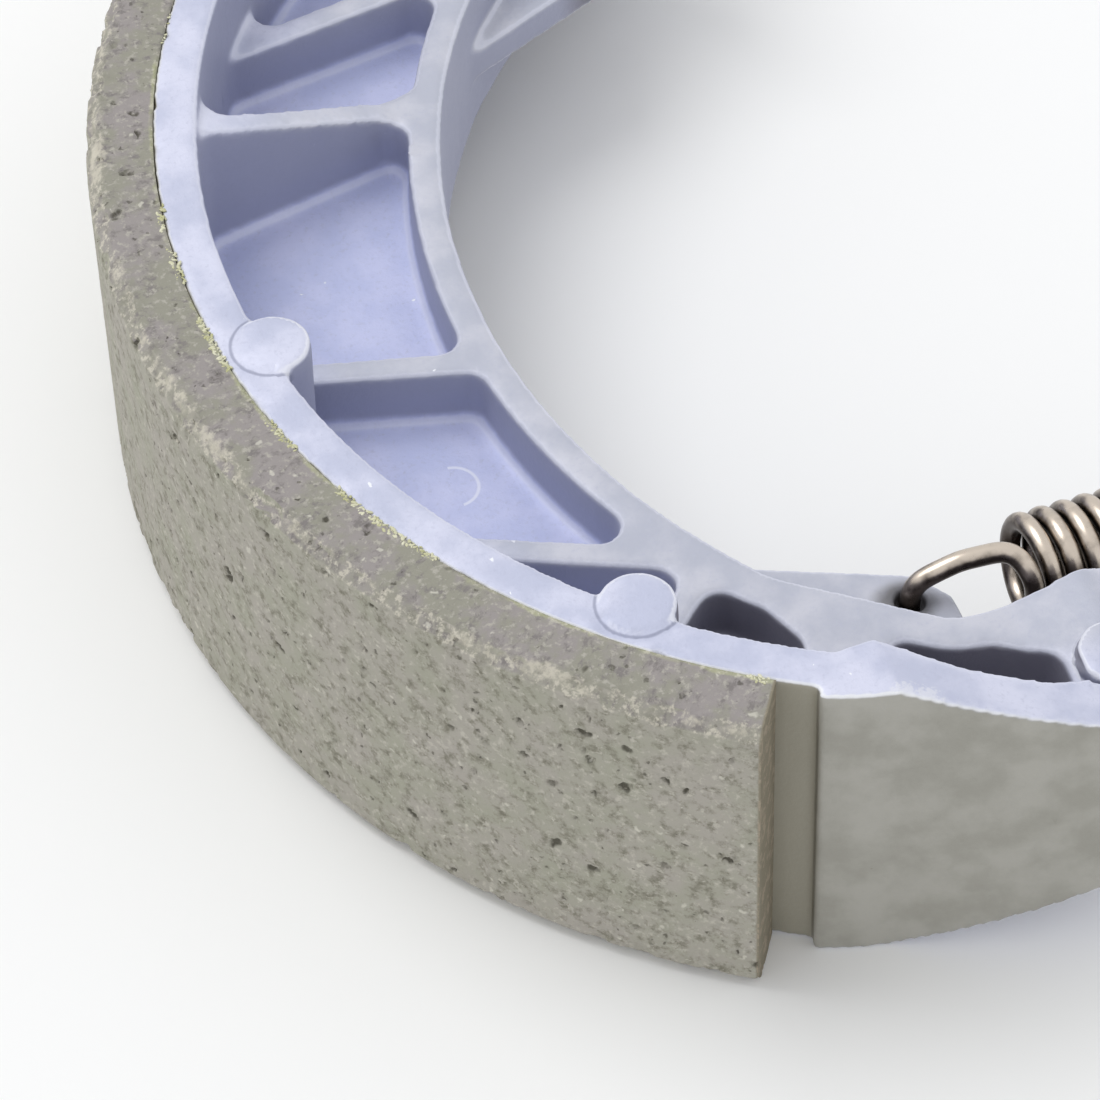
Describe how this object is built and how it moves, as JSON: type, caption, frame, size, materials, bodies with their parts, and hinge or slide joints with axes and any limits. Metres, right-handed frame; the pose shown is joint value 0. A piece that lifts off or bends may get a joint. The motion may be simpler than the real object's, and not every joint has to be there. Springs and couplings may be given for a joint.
{
  "type": "brake shoe",
  "caption": "Curved drum brake shoe: ribbed die-cast body with a bonded friction lining, flat cam end, half-round anchor end and a return spring hooked in its lug.",
  "frame": {"origin": "on the drum's axis, in the plane of the shoe's lower face", "axes": "+Z along the drum's axis, the middle of the shoe towards -X, the cam end towards -Y and the anchor end towards +Y"},
  "size_m": [0.0815, 0.1195, 0.03],
  "materials": {
    "casting": "as-cast satin",
    "lining": "porous moulded friction compound",
    "spring_steel": "drawn wire, oiled"
  },
  "bodies": {
    "root": {"shoe_casting": "casting", "friction_lining": "lining", "return_spring": "spring_steel"}
  },
  "joints": []
}
